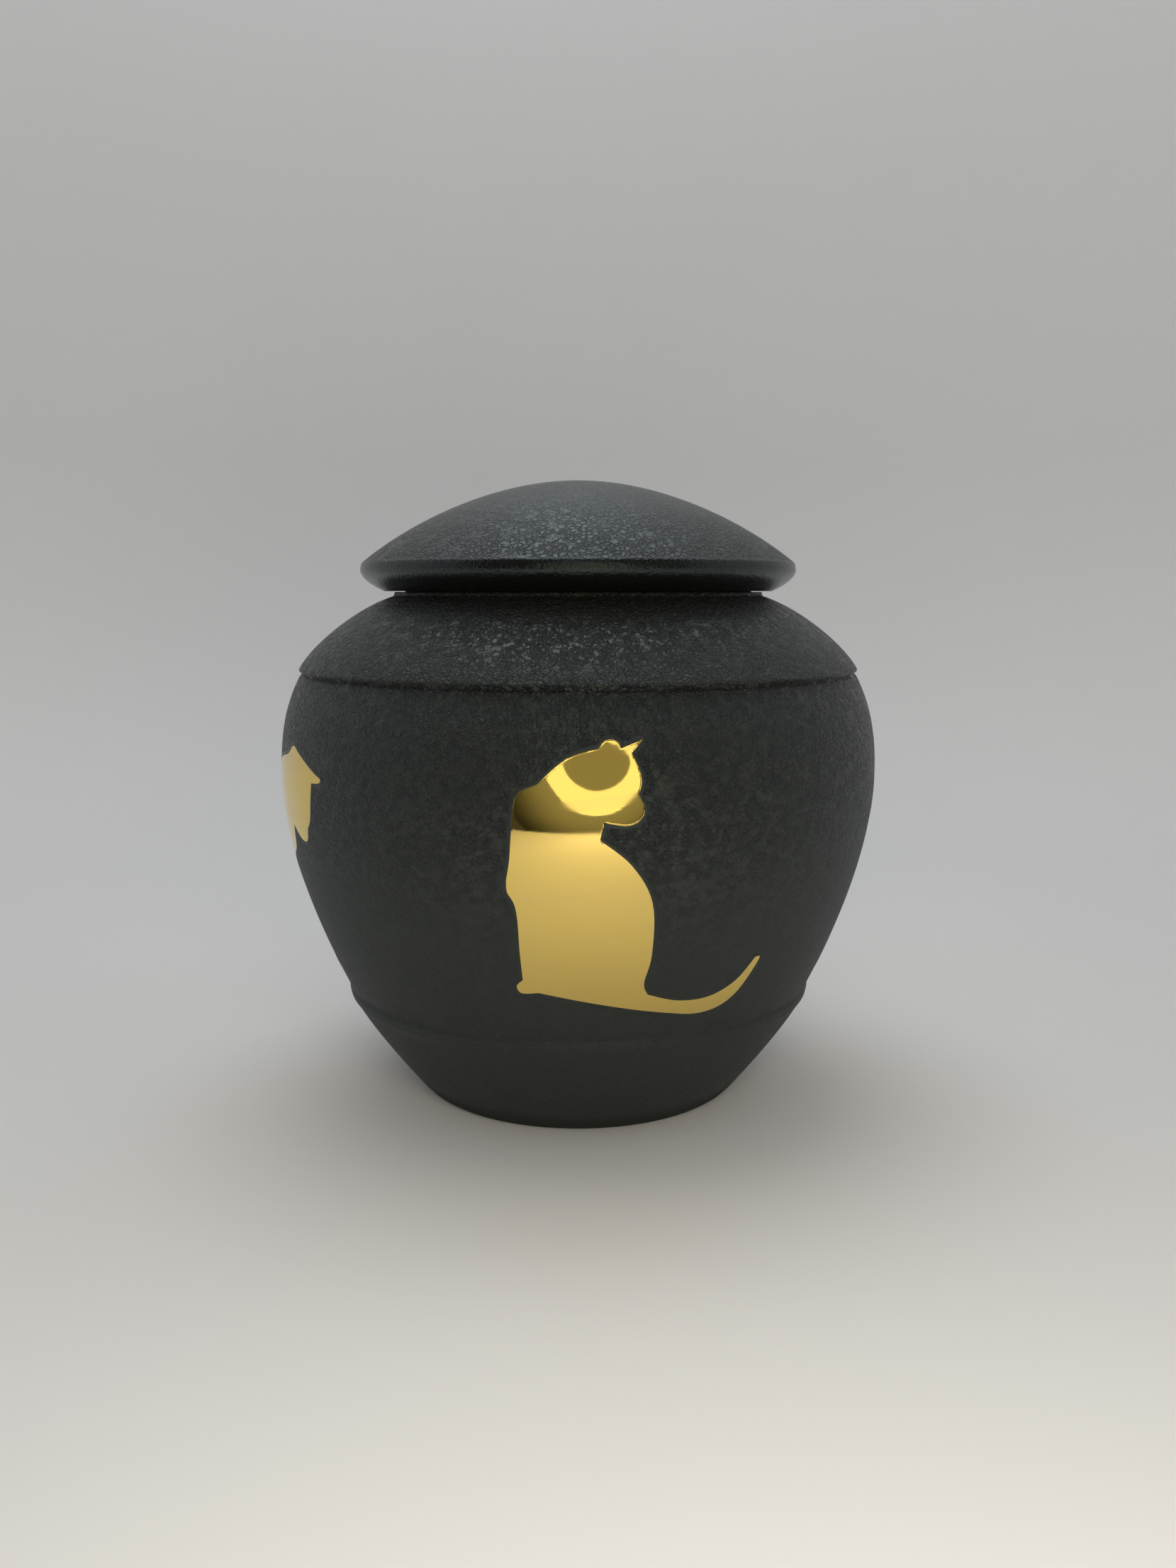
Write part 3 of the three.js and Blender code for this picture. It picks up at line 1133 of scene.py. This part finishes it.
def lamp_glow(studio):
    """Light of the ring lamp: bright on the ring, dim inside it, and fading outside it."""
    material = bpy.data.materials.new("lamp_glow")
    material.use_nodes = True
    tree = material.node_tree
    tree.nodes.clear()
    place = add_node(tree, "ShaderNodeTexCoord").outputs["Object"]
    length = add_node(tree, "ShaderNodeVectorMath", operation="LENGTH")
    feed(tree, length.inputs[0], place)
    radius = length.outputs["Value"]
    on_ring = calculate(
        tree, "MULTIPLY", calculate(tree, "GREATER_THAN", radius, RING_INNER_R),
        calculate(tree, "LESS_THAN", radius, RING_OUTER_R),
    )
    within = calculate(tree, "MULTIPLY", calculate(tree, "LESS_THAN", radius, RING_INNER_R), RING_CORE)
    halo = ease(tree, radius, RING_OUTER_R, RING_HALO_R, *RING_HALO)
    strength = calculate(tree, "MAXIMUM", on_ring, calculate(tree, "MAXIMUM", within, halo))
    emission = add_node(tree, "ShaderNodeEmission")
    feed(tree, emission.inputs["Color"], opaque(RING_COLOUR))
    feed(tree, emission.inputs["Strength"], calculate(tree, "MULTIPLY", strength, studio.ring_lamp))
    output = add_node(tree, "ShaderNodeOutputMaterial")
    feed(tree, output.inputs["Surface"], emission.outputs["Emission"])
    return material


def sweep_half(name, material, keep_front):
    """The part of the round paper sweep in front of the floor's edge, or behind it."""
    bm = bmesh.new()
    low = Vector((SWEEP_FLAT_R, 0, 0))
    high = Vector((SWEEP_FLAT_R + SWEEP_BEND_R, 0, SWEEP_BEND_R))
    bend = rounded(low, Vector((high.x, 0, 0)), high)[::SWEEP_BEND_COARSENING]
    draw_outline(bm, [Vector(), *bend, high, Vector((high.x, 0, SWEEP_HEIGHT))])
    spin_round(bm, SWEEP_SIDES)
    bmesh.ops.remove_doubles(bm, verts=bm.verts, dist=MERGE_DISTANCE)
    bmesh.ops.bisect_plane(
        bm, geom=bm.verts[:] + bm.edges[:] + bm.faces[:], plane_co=(0, FLOOR_FRONT_EDGE_Y, 0),
        plane_no=(0, 1, 0), clear_outer=keep_front, clear_inner=not keep_front,
    )
    for face in bm.faces:
        face.smooth = True
    part = make_object(bm, name, [material])
    return part


def ring_lamp(studio):
    """A round lamp round the camera, seen only in what reflects it."""
    bm = bmesh.new()
    bmesh.ops.create_circle(
        bm, cap_ends=True, segments=96, radius=RING_HALO_R, matrix=Matrix.Rotation(math.pi / 2, 4, "X"),
    )
    lamp = make_object(bm, "ring_lamp", [lamp_glow(studio)])
    lamp.location = RING_PLACE
    lamp.visible_camera = False
    lamp.visible_diffuse = False
    lamp.visible_shadow = False


def soft_light(name, power, place, aim, size, colour):
    """A soft light, round or wide, that looks at a point and that the camera doesn't see."""
    data = bpy.data.lights.new(name, "AREA")
    data.shape = "ELLIPSE"
    data.size, data.size_y = size
    data.energy = power
    data.color = colour
    light = bpy.data.objects.new(name, data)
    light.location = place
    light.rotation_euler = (Vector(aim) - Vector(place)).to_track_quat("-Z", "Y").to_euler()
    light.visible_camera = False
    bpy.context.scene.collection.objects.link(light)
    return light


def room_light(studio):
    """Soft light from above and behind, with a dark room in front."""
    world = bpy.data.worlds.new("room")
    bpy.context.scene.world = world
    world.use_nodes = True
    tree = world.node_tree
    background = next(node for node in tree.nodes if node.type == "BACKGROUND")
    direction = add_node(tree, "ShaderNodeSeparateXYZ")
    feed(tree, direction.inputs["Vector"], add_node(tree, "ShaderNodeTexCoord").outputs["Generated"])
    lift = calculate(
        tree, "MULTIPLY_ADD", direction.outputs["Y"], ROOM_BACKWARD_TILT, direction.outputs["Z"],
    )
    feed(tree, background.inputs["Color"], opaque(ROOM_COLOUR))
    feed(tree, background.inputs["Strength"], ease(tree, lift, *ROOM_RISE, ROOM_DARK, studio.ambient))


def place_camera(studio):
    """The camera at the viewing angle of the reference."""
    data = bpy.data.cameras.new("camera")
    data.lens = studio.camera_lens
    data.sensor_width = 36
    data.clip_start = 0.01
    camera = bpy.data.objects.new("camera", data)
    camera.location = (0, -studio.camera_distance, studio.camera_height)
    camera.rotation_euler = Euler((math.pi / 2 - studio.camera_pitch, 0, -studio.camera_turn))
    bpy.context.scene.collection.objects.link(camera)
    bpy.context.scene.camera = camera


class URN_OT_set_studio(bpy.types.Operator):
    """Set the pale sweep, the soft lights and the camera"""

    bl_idname = "urn.set_studio"
    bl_label = "Set Studio"

    def execute(self, context):
        studio = context.scene.urn_studio
        paper = studio_paper(studio)
        sweep_half("sweep_back", paper, keep_front=False)
        front = sweep_half("sweep_front", paper, keep_front=True)
        front.visible_glossy = False
        front.visible_diffuse = False
        front.visible_shadow = False
        ring_lamp(studio)
        for name, place_aim_size_colour in LIGHTS.items():
            light = soft_light(name, getattr(studio, name), *place_aim_size_colour)
            if name == "camera_light":
                light.visible_glossy = False
        room_light(studio)
        place_camera(studio)
        context.scene.view_settings.view_transform = "Standard"
        return {"FINISHED"}


class URN_PT_panel(bpy.types.Panel):
    """Buttons and sizes of the urn"""

    bl_idname = "URN_PT_panel"
    bl_label = "Urn"
    bl_space_type = "VIEW_3D"
    bl_region_type = "UI"
    bl_category = "Urn"

    def draw(self, context):
        for operator in OPERATORS:
            self.layout.operator(operator.bl_idname)
        for name in SETTINGS:
            group = getattr(context.scene, name)
            box = self.layout.box()
            for field in group.bl_rna.properties:
                if field.identifier not in ("rna_type", "name"):
                    box.prop(group, field.identifier)


SETTINGS = {
    "urn_form": UrnFormSettings,
    "urn_coat": CoatSettings,
    "urn_brass": BrassSettings,
    "urn_figures": FigureSettings,
    "urn_studio": StudioSettings,
}
OPERATORS = (URN_OT_turn_body, URN_OT_turn_lid, URN_OT_lay_figures, URN_OT_set_studio)
CLASSES = (*SETTINGS.values(), *OPERATORS, URN_PT_panel)


def register():
    """Registers the classes and hangs the settings on the scene."""
    for cls in CLASSES:
        bpy.utils.register_class(cls)
    for name, group in SETTINGS.items():
        setattr(bpy.types.Scene, name, PointerProperty(type=group))


def unregister():
    """Takes the settings and the classes away again."""
    for name in SETTINGS:
        delattr(bpy.types.Scene, name)
    for cls in reversed(CLASSES):
        bpy.utils.unregister_class(cls)


def main():
    register()
    bpy.ops.urn.turn_body()
    bpy.ops.urn.turn_lid()
    bpy.ops.urn.lay_figures()
    bpy.ops.urn.set_studio()


if __name__ == "__main__":
    main()
